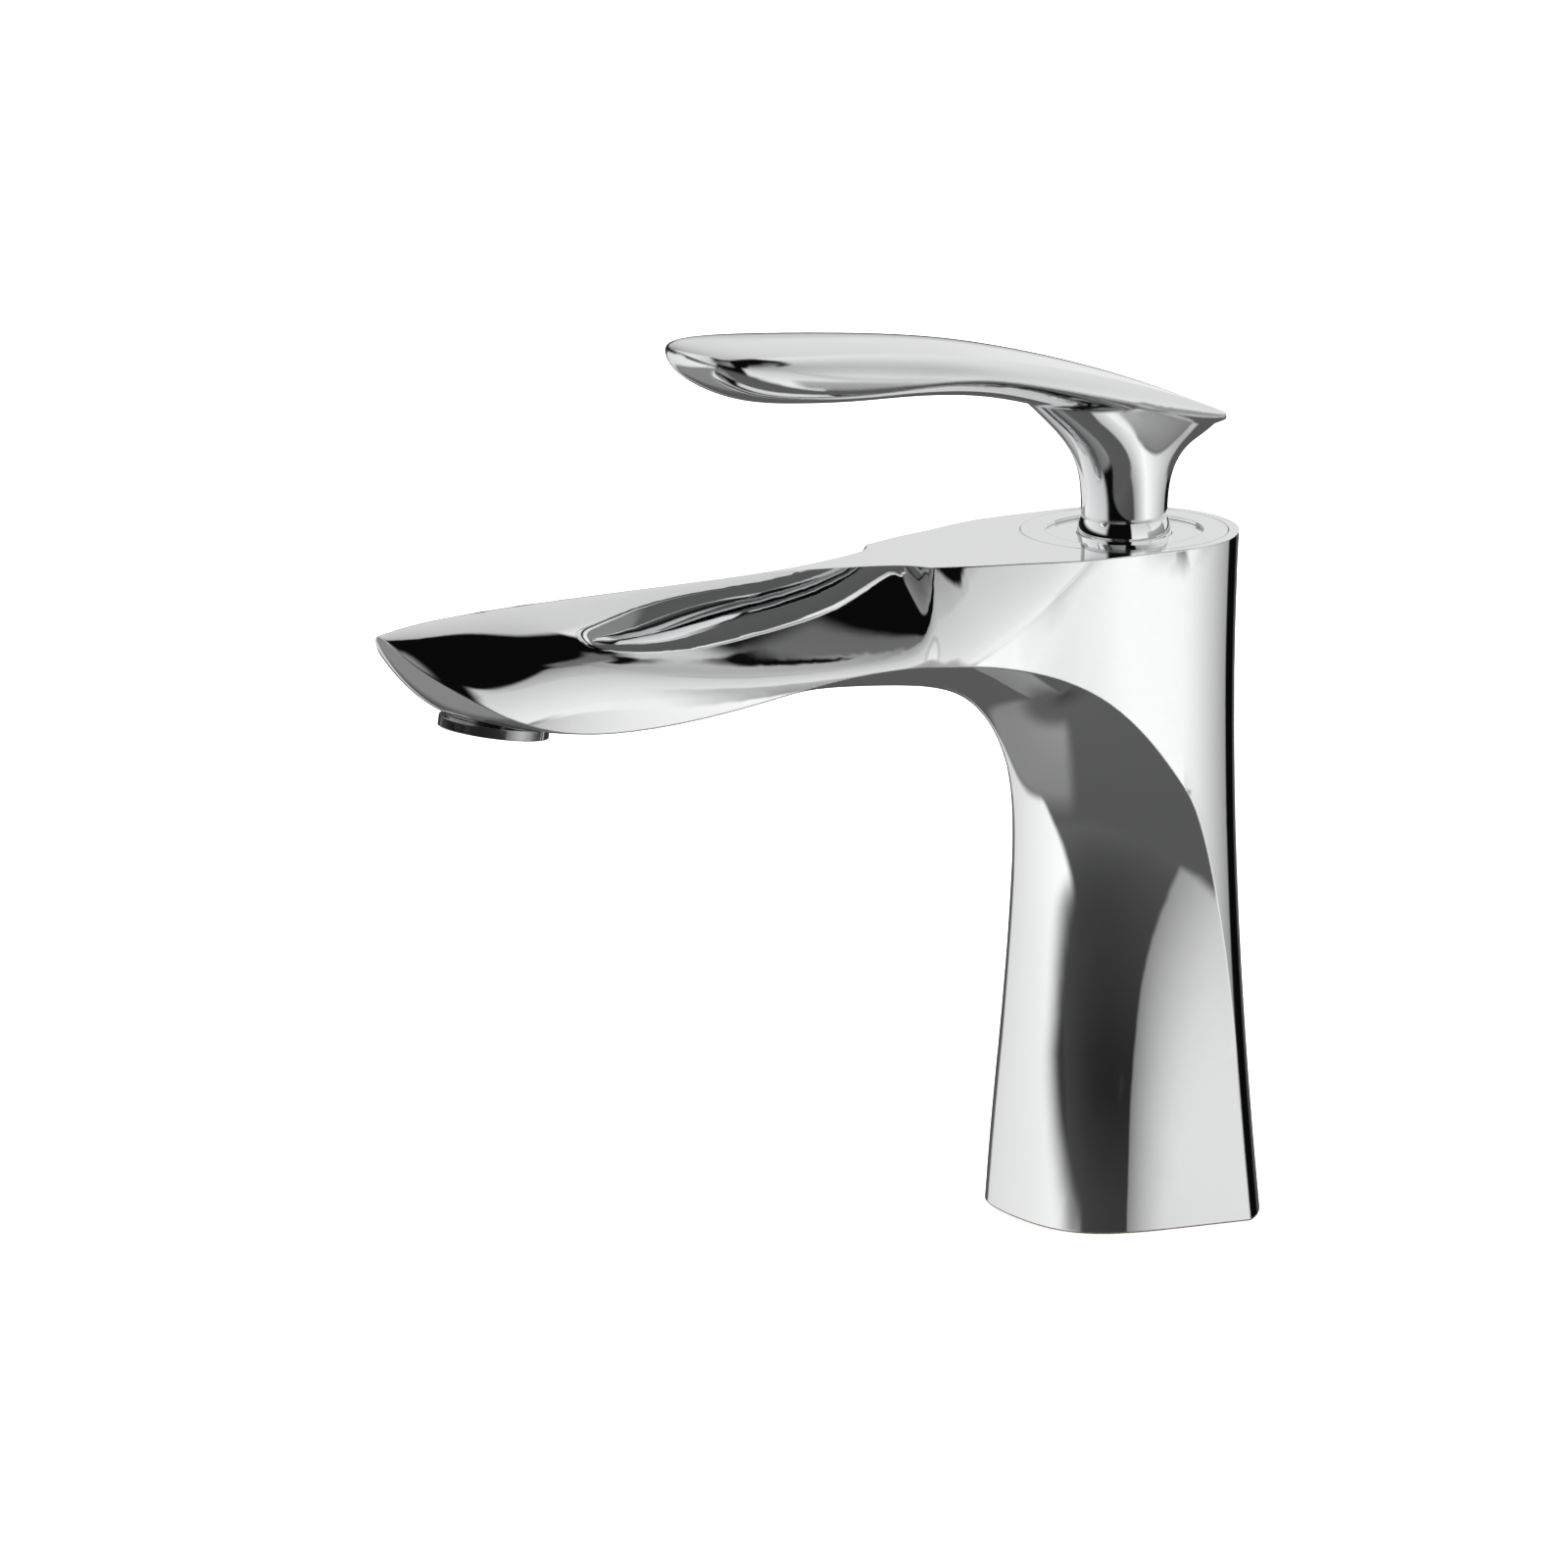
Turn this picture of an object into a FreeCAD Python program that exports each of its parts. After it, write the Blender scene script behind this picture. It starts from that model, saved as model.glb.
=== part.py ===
import FreeCAD, Part
import math
import os
from FreeCAD import Placement, Rotation, Vector

# Deck-mounted single-lever basin mixer, in millimetres. The deck face is Z = 0, the spout points along -Y,
# the column's axis is the Z axis, and the part is symmetric about X = 0 at rest, which is closed.

os.makedirs("parts", exist_ok=True)

# Body, outside
head_height = 131.0            # flat top above the deck
head_radius = 22.0             # round back of the flat top
waist_pull = 2.55              # how far the column draws in below the head
flare_back = 25.7              # column radius at the deck, towards the back
flare_side = 31.0              # half width of the side walls where they would reach the deck
spout_reach = 161.3            # column axis to the tip of the spout
spout_half_width = 21.0        # half width of the spout's hood
hood_rise = 25.0               # height of the hood's arch above its springing line
top_length = 63.0              # column axis to the point of the flat teardrop top
front_foot = 24.0              # column axis to the front of the foot
front_waist = 21.9             # column axis to the front of the column at half height
foot_half_width = 23.7         # half width of the front face at the foot
spout_depth = 23.6             # flat top down to the lowest line under the spout

# Body, inside
chamber_radius = 18.25         # bore for the cartridge and its nut
cartridge_drop = 47.0          # flat top down to the seat of the cartridge
recess_radius = 19.75          # counterbore for the trim ring
pocket_radius = 17.6           # hollow foot
web_thickness = 12.0           # between the hollow foot and the seat of the cartridge
duct_radius = 2.6              # hot and cold ducts to the cartridge
inlet_radius = 4.5             # tapped inlets, core hole of M10 x 1
inlet_depth = 14.0
inlet_offset = 9.0             # inlets left and right of the axis
inlet_back = 2.0               # and behind it
inlet_boss_radius = 6.8
stud_radius = 3.4              # tapped hole for the fixing stud, core hole of M8
stud_depth = 18.0
stud_front = 11.0              # stud in front of the axis
stud_boss_radius = 5.6
boss_foot = 14.0               # bosses end this far above the deck
channel_half_width = 9.5       # waterway through the spout
channel_share = 0.235          # its half height as a share of the spout's depth
seal_groove_radius = 20.7      # middle of the groove for the deck seal
seal_width = 2.5
seal_depth = 1.6
groove_wall = 1.0              # wall between the deck seal and the register
register_depth = 6.0           # register in the foot that centres the tap on its deck ring

# Cover parts in the flat top
lip_thickness = 0.6            # trim ring's lip over the cover disc
opening_radius = 15.0          # trim ring's opening
cover_radius = 15.3
cover_thickness = 1.2
glide_thickness = 2.0
glide_bore = 12.2
slide_gap = 0.05               # between sliding faces
fit_gap = 0.05                 # between parts that are pushed together

# Lever mechanism
pivot_drop = 10.0              # pivot below the flat top
lift_angle = 18.0              # lever's travel from closed to full flow
ball_radius = 9.0              # collar at the foot of the stem
ball_gap = 0.08                # running clearance of the collar in the cover disc
neck_radius = 8.2              # round stem of the lever
spindle_side = 8.0             # square spindle
pin_radius = 1.5
tip_radius = 3.0               # ball at the lower end of the spindle
tip_gap = 0.15

# Cartridge
base_thickness = 6.0
gasket_thickness = 1.0
fixed_thickness = 3.2
moving_thickness = 3.0
moving_radius = 10.0
carrier_thickness = 6.4
case_radius = 17.4             # foot and shoulder of the cartridge
housing_radius = 16.2
housing_height = 34.5          # from the cartridge's seat to its shoulder
cavity_radius = 13.5
roof_thickness = 3.5
shoulder_thickness = 4.5
rotor_neck_radius = 9.4
rotor_neck_height = 5.1        # above the cartridge's shoulder
turn_gap = 0.1                 # running clearance of the rotor
port_side = 4.8                # inlet ports left and right of the axis
port_front = 2.9               # and in front of it
port_radius = 2.0
outlet_back = 3.6              # outlet port behind the axis
outlet_radius = 2.6
nut_bore = 14.0
limiter_radius = 13.0
limiter_thickness = 2.6

# Lever
lever_reach = 96.3             # column axis to the tip of the lever
lever_rise = 46.0              # flat top up to the highest line of the lever
lever_half_width = 15.3
tail_reach = 22.3              # column axis to the point of the tail
socket_depth = 13.0            # spindle's socket in the neck
screw_radius = 2.0
screw_height = 6.5             # screw above the foot of the neck

# Aerator
aerator_setback = 25.2         # spout tip to the aerator's centre
aerator_lift = 1.8             # aerator's seat above the lowest line under the spout
aerator_tilt = 8.5             # degrees that the stream leans forward
thread_radius = 9.2            # M18.5 x 1
thread_length = 7.0
flange_radius = 10.4
flange_height = 2.0
aerator_bore = 8.2
mouth_radius = 7.4
core_thickness = 3.0
cell_pitch = 2.1
cell_radius = 0.75
washer_thickness = 1.5

# Heights that follow from these
underside_height = head_height - spout_depth
chamber_floor = head_height - cartridge_drop
pocket_height = chamber_floor - web_thickness
lever_top = head_height + lever_rise
aerator_height = underside_height + aerator_lift
cover_top = head_height - lip_thickness - slide_gap
cover_bottom = cover_top - cover_thickness
glide_top = cover_bottom - slide_gap
recess_floor = glide_top - glide_thickness
ball_height = 0.5 * (cover_top + cover_bottom)
pivot_height = head_height - pivot_drop
base_top = chamber_floor + base_thickness
fixed_bottom = base_top + gasket_thickness
fixed_top = fixed_bottom + fixed_thickness
moving_bottom = fixed_top + slide_gap
carrier_bottom = moving_bottom + moving_thickness
carrier_top = carrier_bottom + carrier_thickness
rotor_bottom = carrier_top + slide_gap
shoulder_top = chamber_floor + housing_height
roof_bottom = shoulder_top - roof_thickness
rotor_top = shoulder_top + rotor_neck_height
tip_height = carrier_bottom + 0.5 * carrier_thickness
lift = math.radians(lift_angle)
disc_travel = (pivot_height - tip_height) * math.sin(lift)
disc_rest = 0.5 * disc_travel
# The neck's lower edge clears the cover disc when the lever is fully raised
cover_sink = (ball_height - pivot_height) * (1.0 - math.cos(lift))
neck_rise = (0.5 * cover_thickness + cover_sink + 0.1 + neck_radius * math.sin(lift)) / math.cos(lift)
neck_foot = ball_height + neck_rise
# The collar's lower edge clears the top of the rotor in the same way
collar_foot = pivot_height + (rotor_top - pivot_height + 0.6 + ball_radius * math.sin(lift)) / math.cos(lift)


def at(forward, side, up):
    """A point given forward along the spout, to the side and up."""
    return Vector(side, -forward, up)


def clamped_knots(count):
    """Knots and multiplicities of a clamped cubic with this many poles."""
    spans = count - 3
    return list(range(spans + 1)), [4] + [1] * (spans - 1) + [4]


def chain_knots(count):
    """Knots and multiplicities of cubic arcs joined end to end."""
    spans = (count - 1) // 3
    return list(range(spans + 1)), [4] + [3] * (spans - 1) + [4]


def patch(rows):
    """A smooth face: clamped cubic along the rows, chained cubic arcs across each row."""
    row_knots, row_mults = clamped_knots(len(rows))
    arc_knots, arc_mults = chain_knots(len(rows[0]))
    surface = Part.BSplineSurface()
    surface.buildFromPolesMultsKnots(rows, row_mults, arc_mults, row_knots, arc_knots, False, False, 3, 3)
    return surface.toShape()


def curve(poles, knots):
    """An edge on the border of a patch."""
    spline = Part.BSplineCurve()
    spline.buildFromPolesMultsKnots(poles, knots[1], knots[0], False, 3)
    return spline.toShape()


def plane_face(edges):
    return Part.Face(Part.Wire(Part.__sortEdges__(edges)))


def solid_from(faces):
    """One closed solid sewn from faces that share their borders."""
    shell = Part.Compound(faces)
    shell.sewShape(0.001)
    solid = Part.Solid(shell.Shells[0])
    if solid.Volume < 0:
        solid.reverse()
    return solid


def opposite(points):
    """The same points on the other side."""
    return [Vector(-p.x, p.y, p.z) for p in points]


def across(points):
    """From one side over the middle to the other, given one side and the middle point."""
    return points + opposite(reversed(points[:-1]))


def split_arc(poles, share):
    """One cubic arc as two that join at this share of it: seven poles."""
    levels = [poles]
    while len(levels[-1]) > 1:
        level = levels[-1]
        levels.append([a + (b - a) * share for a, b in zip(level, level[1:])])
    return [level[0] for level in levels] + [level[-1] for level in reversed(levels[:-1])]


def largest(shape):
    return max(shape.Solids, key=lambda solid: solid.Volume)


def disc(radius, bottom, top, x=0.0, y=0.0):
    return Part.makeCylinder(radius, top - bottom, Vector(x, y, bottom))


def ring(outer, inner, bottom, top):
    return disc(outer, bottom, top).cut(disc(inner, bottom - 1.0, top + 1.0))


def block(half_x, y_low, y_high, bottom, top):
    return Part.makeBox(2.0 * half_x, y_high - y_low, top - bottom, Vector(-half_x, y_low, bottom))


def rod(start, end, radius):
    return Part.makeCylinder(radius, (end - start).Length, start, end - start)


# Round arcs are drawn with the usual cubic handle length
ROUND = 0.5523
BELOW_DECK = -8.0              # the skin runs past the deck and is trimmed there
HEAD_SPRING = head_height + 5.0
WALL_STEP = (HEAD_SPRING - BELOW_DECK) / 3.0


def hood_skin():
    """The skin of the column's sides and back and of the spout's hood, closed above the head."""
    spring = head_height - hood_rise
    lean = waist_pull / WALL_STEP
    nose = spout_reach
    half = spout_half_width
    top = top_length
    run = nose - top
    # A station's arch goes from a plain oval to a roof over an upright flank. Its form has the share of the
    # roof, then the shoulder where flank and roof meet: half width, rise as a share of the hood's, rounding.
    oval_form = (0.0, half, 0.5, 0.0)
    # forward, half width, springing line, lean of the wall, half width of the skirt, form of the arch
    stations = [
        (0.0, head_radius, HEAD_SPRING, lean, flare_side, oval_form),
        (0.127 * top, head_radius, HEAD_SPRING, lean, flare_side, oval_form),
        (0.286 * top, head_radius - 0.3, spring + 24.0, 0.6 * lean, flare_side, oval_form),
        (0.476 * top, head_radius - 1.5, spring + 14.0, 0.3 * lean, flare_side - 2.0,
         (1.0, half - 5.0, 0.6, 3.0)),
        (0.667 * top, half - 0.5, spring + 8.0, 0.2 * lean, flare_side - 5.0, (1.0, half - 8.5, 0.88, 3.0)),
        (0.746 * top, half - 0.4, spring + 5.0, 0.2 * lean, flare_side - 7.3, (1.0, half - 11.5, 1.0, 3.0)),
        (0.810 * top, half - 0.2, spring + 5.0, 0.1 * lean, half + 2.0, (1.0, half - 6.0, 0.60, 3.0)),
        (0.857 * top, half, spring + 4.0, 0.0, half + 1.0, (1.0, half - 1.0, 0.28, 3.0)),
        (top + 0.01 * run, half, spring + 1.0, 0.0, half, (1.0, half - 1.0, 0.36, 3.0)),
        (top + 0.132 * run, half, spring - 0.1, 0.0, half, (1.0, half - 1.0, 0.40, 3.0)),
        (top + 0.336 * run, half, spring - 0.3, 0.0, half, (1.0, half - 1.0, 0.44, 3.0)),
        (top + 0.542 * run, half - 0.4, spring - 0.5, 0.0, half - 0.4, (1.0, half - 2.2, 0.58, 4.5)),
        (top + 0.695 * run, half - 1.4, spring - 0.8, 0.0, half - 1.4, (1.0, half - 4.0, 0.68, 6.0)),
        (top + 0.827 * run, half - 3.2, spring - 1.4, 0.0, half - 3.2, (0.5, half - 5.8, 0.56, 6.0)),
        (top + 0.919 * run, half - 6.5, spring - 2.2, 0.0, half - 6.5, oval_form),
        (nose - 1.0, half - 12.5, spring - 3.2, 0.0, half - 12.5, oval_form),
        (nose + 3.0, 2.5, spring - 4.0, 0.0, 2.5, oval_form),
    ]
    slant = math.radians(58.0)
    arch_rows = []
    wall_rows = []
    for forward, wide, spring_z, tilt, skirt, (roofed, shoulder_wide, rise, rounding) in stations:
        handle = ROUND * hood_rise
        crown = spring_z + hood_rise
        oval = split_arc([at(forward, wide, spring_z),
                          at(forward, wide + tilt * handle, spring_z + handle),
                          at(forward, ROUND * wide, crown),
                          at(forward, 0.0, crown)], 1.0 / 3.0)
        shoulder = at(forward, shoulder_wide, spring_z + rise * hood_rise)
        bend = at(0.0, -math.cos(slant), math.sin(slant)) * rounding
        flank = 0.35 * rise * hood_rise
        roof = [oval[0],
                at(forward, wide + tilt * flank, spring_z + flank),
                shoulder - bend,
                shoulder,
                shoulder + bend,
                at(forward, 0.22 * wide, crown - 0.02 * hood_rise),
                oval[-1]]
        arch_rows.append(across([plain + (shaped - plain) * roofed for plain, shaped in zip(oval, roof)]))
        knee = spring_z - WALL_STEP
        waist = wide - tilt * WALL_STEP
        wall_rows.append([at(forward, wide, spring_z),
                          at(forward, waist, knee),
                          at(forward, 0.45 * waist + 0.55 * skirt, 0.5 * (knee + BELOW_DECK)),
                          at(forward, skirt, BELOW_DECK)])
    far_rows = [opposite(row) for row in wall_rows]

    back_depths = [head_radius, head_radius - waist_pull, head_radius - 1.0, flare_back]
    back_rows = []
    for depth, edge in zip(back_depths, wall_rows[0]):
        back_rows.append(across([edge,
                                 at(-ROUND * depth, edge.x, edge.z),
                                 at(-depth, ROUND * edge.x, edge.z),
                                 at(-depth, 0.0, edge.z)]))

    arch_knots = chain_knots(len(arch_rows[0]))
    round_knots = chain_knots(7)
    wall_knots = chain_knots(4)
    along = clamped_knots(len(stations))
    head_line = Part.makeLine(arch_rows[0][0], arch_rows[0][-1])
    nose_line = Part.makeLine(wall_rows[-1][-1], far_rows[-1][-1])
    lid = plane_face([curve(back_rows[0], round_knots), head_line])
    arch_end = plane_face([curve(arch_rows[0], arch_knots), head_line])
    foot = plane_face([curve(back_rows[-1], round_knots),
                       curve([row[-1] for row in wall_rows], along),
                       curve([row[-1] for row in far_rows], along),
                       nose_line])
    nose_end = plane_face([curve(arch_rows[-1], arch_knots),
                           curve(wall_rows[-1], wall_knots),
                           curve(far_rows[-1], wall_knots),
                           nose_line])
    return solid_from([patch(arch_rows), patch(wall_rows), patch(far_rows), patch(back_rows),
                       lid, arch_end, foot, nose_end])


def front_cutter():
    """Everything in front of the column and under the spout, bounded by one saddle-shaped skin.

    Each station is a point on the middle line, the direction from there into the body, the half width and
    depth of its arc, and how square the arc is: 0 is a parabola and 1 is nearly a box.
    """
    nose = spout_reach
    low = underside_height
    deep = spout_depth
    top = top_length
    run = nose - top
    stations = [
        (front_foot + 0.6, BELOW_DECK - 6.0, -1.0, 0.0, foot_half_width + 0.5, 20.0, 0.8),
        (front_foot - 0.5, 0.112 * low, -1.0, 0.0, foot_half_width - 0.8, 20.0, 0.8),
        (front_waist + 0.4, 0.335 * low, -1.0, 0.0, foot_half_width - 2.7, 26.0, 0.75),
        (front_waist - 0.2, 0.54 * low, -1.0, 0.0, foot_half_width - 1.8, 31.0, 0.5),
        (front_waist - 0.2, 0.72 * low, -1.0, 0.05, 23.8, 31.5, 0.15),
        (front_waist + 1.9, 0.837 * low, -0.96, 0.25, 25.0, 24.3, 0.0),
        (0.476 * top, 0.926 * low, -0.90, 0.42, 25.0, 18.4, 0.0),
        (0.603 * top, 0.97 * low, -0.75, 0.66, 25.0, 14.6, 0.0),
        (0.762 * top, 0.993 * low, -0.50, 0.87, 25.0, 11.3, 0.0),
        (0.984 * top, low + 0.6, -0.10, 1.0, 24.5, 9.6, 0.0),
        (top + 0.153 * run, low + 1.9, 0.0, 1.0, 24.0, 5.6, 0.0),
        (top + 0.356 * run, low + 0.7, 0.0, 1.0, 24.0, 2.6, 0.0),
        (top + 0.563 * run, low - 0.5, 0.0, 1.0, 24.0, 2.2, 0.0),
        (top + 0.715 * run, low + 0.4, 0.0, 1.0, 24.0, 2.6, 0.0),
        (top + 0.837 * run, low + 2.8, -0.5, 0.85, 24.0, 7.0, 0.0),
        (top + 0.908 * run, low + 0.36 * deep, -0.9, 0.42, 24.0, 10.5, 0.0),
        (top + 0.959 * run, low + 0.614 * deep, -1.0, 0.1, 24.0, 12.0, 0.0),
        (nose - 0.2, low + 0.89 * deep, -1.0, 0.0, 24.0, 14.0, 0.0),
        (nose + 2.2, low + 1.27 * deep, -1.0, 0.0, 24.0, 16.0, 0.0),
    ]
    leg = 45.0
    rows = []
    for forward, up, into_forward, into_up, half, depth, square in stations:
        size = math.hypot(into_forward, into_up)

        def off(side, into):
            return at(forward + into * into_forward / size, side, up + into * into_up / size)

        bend_half = (0.667 + 0.333 * square) * half
        bend_depth = (0.333 - 0.133 * square) * depth
        run = math.hypot(half - bend_half, depth - bend_depth)
        out = (half - bend_half) / run + 0.004
        back = (depth - bend_depth) / run
        rows.append(across([off(half + leg * out, depth + leg * back),
                            off(half + 0.6 * leg * out, depth + 0.6 * leg * back),
                            off(half + 0.3 * leg * out, depth + 0.3 * leg * back),
                            off(half, depth),
                            off(bend_half, bend_depth),
                            off((0.333 + 0.447 * square) * half, 0.0),
                            off(0.0, 0.0)]))
    return patch(rows).extrude(at(200.0, 0.0, -200.0))


def neck_solid(sections):
    """A solid through oval sections that lean with the leaf.

    Each section has the height of its middle, its slope, its front, middle and back measured forward, its
    half width, and how pointed its back is: 0 is round and 1 is drawn out to a point.
    """
    rows = []
    for up, slope, front, middle, back, width, point in sections:
        length = front - middle
        tail = middle - back
        plain = 1.0 - point

        def off(forward, side):
            return at(forward, side, up + slope * (forward - middle))

        rows.append([off(front, 0.0),
                     off(front, ROUND * width),
                     off(middle + ROUND * length, width),
                     off(middle, width),
                     off(middle - (ROUND * plain + 0.33 * point) * tail, (plain + 0.79 * point) * width),
                     off(middle - (plain + 0.69 * point) * tail, (ROUND * plain + 0.31 * point) * width),
                     off(back, 0.0)])
    far_rows = [opposite(row) for row in rows]
    knots = chain_knots(7)
    ends = [plane_face([curve(rows[i], knots), curve(far_rows[i], knots)]) for i in (0, -1)]
    return solid_from([patch(rows), patch(far_rows)] + ends)


def aerator_place():
    """Places a shape built along Z, with the seat at its origin, at the spout's mouth."""
    return Placement(at(spout_reach - aerator_setback, 0.0, aerator_height),
                     Rotation(Vector(1.0, 0.0, 0.0), -aerator_tilt))


def at_aerator(shape):
    shape.Placement = aerator_place().multiply(shape.Placement)
    return shape


def water_channel():
    """The waterway from the cartridge's chamber through the spout."""
    wide = channel_half_width
    high = channel_share * spout_depth
    low = underside_height
    end = spout_reach - aerator_setback
    top = top_length
    # forward, height of the middle, half width, half height
    stations = [
        (0.66 * chamber_radius, chamber_floor + 0.404 * cartridge_drop, wide - 3.0, high),
        (1.2 * chamber_radius, chamber_floor + 0.479 * cartridge_drop, wide - 2.5, high - 0.5),
        (0.571 * top, low + 0.275 * spout_depth, wide - 1.5, high),
        (0.825 * top, low + 0.44 * spout_depth, wide, high + 0.3),
        (top + 0.233 * (end - top), low + 0.49 * spout_depth, wide, high + 0.6),
        (top + 0.644 * (end - top), low + 0.45 * spout_depth, wide, high + 0.6),
        (end, low + 0.475 * spout_depth, wide - 2.0, high),
        (end + 5.0, low + 0.49 * spout_depth, wide - 4.0, high - 2.0),
    ]
    rows = []
    for forward, middle, width, height in stations:
        rows.append([at(forward, 0.0, middle - height),
                     at(forward, ROUND * width, middle - height),
                     at(forward, width, middle - ROUND * height),
                     at(forward, width, middle),
                     at(forward, width, middle + ROUND * height),
                     at(forward, ROUND * width, middle + height),
                     at(forward, 0.0, middle + height)])
    far_rows = [opposite(row) for row in rows]
    knots = chain_knots(7)
    ends = [plane_face([curve(rows[i], knots), curve(far_rows[i], knots)]) for i in (0, -1)]
    return solid_from([patch(rows), patch(far_rows)] + ends)


def body_shell():
    """The casting: outside skin, cartridge chamber, waterways, hollow foot with its bosses."""
    slab = Part.makeBox(400.0, 400.0, head_height, Vector(-200.0, -300.0, 0.0))
    shape = largest(hood_skin().common(slab).cut(front_cutter()))

    pocket = disc(pocket_radius, -1.0, pocket_height)
    for side in (-1.0, 1.0):
        pocket = pocket.cut(disc(inlet_boss_radius, boss_foot, pocket_height + 1.0,
                                 side * inlet_offset, inlet_back))
    pocket = pocket.cut(disc(stud_boss_radius, boss_foot, pocket_height + 1.0, 0.0, -stud_front))
    shape = shape.cut(pocket)

    shape = shape.cut(disc(chamber_radius, chamber_floor, head_height + 1.0))
    shape = shape.cut(disc(recess_radius, recess_floor, head_height + 1.0))
    for side in (-1.0, 1.0):
        inlet_top = boss_foot + inlet_depth
        foot = Vector(side * inlet_offset, inlet_back, inlet_top - 2.0)
        port = Vector(side * port_side, -port_front, chamber_floor)
        shape = shape.cut(disc(inlet_radius, boss_foot - 1.0, inlet_top, side * inlet_offset, inlet_back))
        shape = shape.cut(rod(foot, port + (port - foot) * 0.05, duct_radius))
    shape = shape.cut(disc(stud_radius, boss_foot - 1.0, boss_foot + stud_depth, 0.0, -stud_front))
    shape = shape.cut(ring(seal_groove_radius + 0.5 * seal_width + fit_gap,
                           seal_groove_radius - 0.5 * seal_width - fit_gap, -1.0, seal_depth))

    register_radius = seal_groove_radius - 0.5 * seal_width - fit_gap - groove_wall
    shape = shape.cut(disc(register_radius, -1.0, register_depth))

    shape = shape.cut(water_channel())
    socket = disc(thread_radius + fit_gap, -1.0, thread_length + washer_thickness)
    socket = socket.fuse(disc(mouth_radius, 0.0, thread_length + washer_thickness + 3.0))
    socket = socket.fuse(disc(flange_radius + 0.3, -12.0, 0.0))
    shape = largest(shape.cut(at_aerator(socket)))
    # The casting is made from its near half and the mirror image of that
    near = shape.common(Part.makeBox(200.0, 400.0, 400.0, Vector(0.0, -300.0, -100.0)))
    return largest(near.fuse(near.mirror(Vector(0.0, 0.0, 0.0), Vector(1.0, 0.0, 0.0))))


def base_seal():
    return ring(seal_groove_radius + 0.5 * seal_width, seal_groove_radius - 0.5 * seal_width,
                0.0, seal_depth - fit_gap)


def trim_ring():
    """The flush ring: a thin lip over the pocket in which the cover disc slides."""
    outer = recess_radius - 2.0 * fit_gap
    shape = ring(outer, opening_radius, recess_floor, head_height)
    return shape.cut(disc(chamber_radius - fit_gap, recess_floor - 1.0, head_height - lip_thickness))


def glide_ring():
    return ring(chamber_radius - 2.0 * fit_gap, glide_bore, recess_floor, glide_top)


def cover_disc():
    return ring(cover_radius, ball_radius + ball_gap, cover_bottom, cover_top)


def square_bar(side, bottom, top):
    return block(0.5 * side, -0.5 * side, 0.5 * side, bottom, top)


def lever_collar():
    """A slice of a ball with a square hole, on which the lever's neck stands."""
    shape = Part.makeSphere(ball_radius, Vector(0.0, 0.0, ball_height))
    shape = shape.common(disc(2.0 * ball_radius, collar_foot, neck_foot))
    return shape.cut(square_bar(spindle_side + 2.0 * fit_gap, collar_foot - 1.0, neck_foot + 1.0))


def spindle():
    """Square above, round below, with a ball that drives the disc carrier."""
    square_foot = pivot_height - 12.0
    square_top = neck_foot + socket_depth - 0.5
    shape = square_bar(spindle_side, square_foot, square_top)
    shape = shape.fuse(disc(0.57 * tip_radius, tip_height, square_foot + 0.1))
    shape = shape.fuse(Part.makeSphere(tip_radius, Vector(0.0, 0.0, tip_height)))
    half = spindle_side
    hole = rod(Vector(-half, 0.0, pivot_height), Vector(half, 0.0, pivot_height), pin_radius + 0.06)
    return shape.cut(hole).removeSplitter()


def tilted(shape, angle):
    """The shape with the lever raised by this angle."""
    copy = shape.copy()
    copy.rotate(Vector(0.0, 0.0, pivot_height), Vector(-1.0, 0.0, 0.0), angle)
    return copy


def rotor():
    """Turns in the housing and carries the pivot; its slot leaves room for the spindle's tilt."""
    shape = disc(cavity_radius - turn_gap, rotor_bottom, roof_bottom - slide_gap)
    shape = shape.fuse(disc(rotor_neck_radius, rotor_bottom, rotor_top))
    clear = spindle_side + 0.3
    bar = square_bar(clear, rotor_bottom - 30.0, rotor_top + 30.0)
    for step in range(7):
        shape = shape.cut(tilted(bar, lift_angle * step / 6.0))
    half = rotor_neck_radius + 1.0
    hole = rod(Vector(-half, 0.0, pivot_height), Vector(half, 0.0, pivot_height), pin_radius + 0.02)
    return shape.cut(hole).removeSplitter()


def pivot_pin():
    half = rotor_neck_radius - 0.4
    return rod(Vector(-half, 0.0, pivot_height), Vector(half, 0.0, pivot_height), pin_radius)


def limiter_ring():
    """Toothed ring that stops the turn towards hot."""
    bottom = shoulder_top + turn_gap
    shape = ring(limiter_radius, rotor_neck_radius + fit_gap, bottom, bottom + limiter_thickness)
    teeth = 24
    for tooth in range(teeth):
        angle = 2.0 * math.pi * tooth / teeth
        notch = disc(0.6, bottom - 1.0, bottom + limiter_thickness + 1.0,
                     limiter_radius * math.cos(angle), limiter_radius * math.sin(angle))
        shape = shape.cut(notch)
    return shape


def retaining_nut():
    """Ring nut with four slots for its key."""
    shape = ring(chamber_radius - fit_gap, nut_bore, shoulder_top, recess_floor)
    for angle in (0.0, 90.0):
        slot = block(chamber_radius + 1.0, -1.5, 1.5, recess_floor - 2.5, recess_floor + 1.0)
        slot.rotate(Vector(0.0, 0.0, 0.0), Vector(0.0, 0.0, 1.0), angle)
        shape = shape.cut(slot)
    return shape


def cartridge_housing():
    shape = disc(housing_radius, base_top, shoulder_top)
    shape = shape.fuse(disc(case_radius, shoulder_top - shoulder_thickness, shoulder_top))
    shape = shape.cut(disc(cavity_radius, base_top - 1.0, roof_bottom))
    neck_bore = disc(rotor_neck_radius + turn_gap, roof_bottom - 1.0, shoulder_top + 1.0)
    return shape.cut(neck_bore).removeSplitter()


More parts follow.
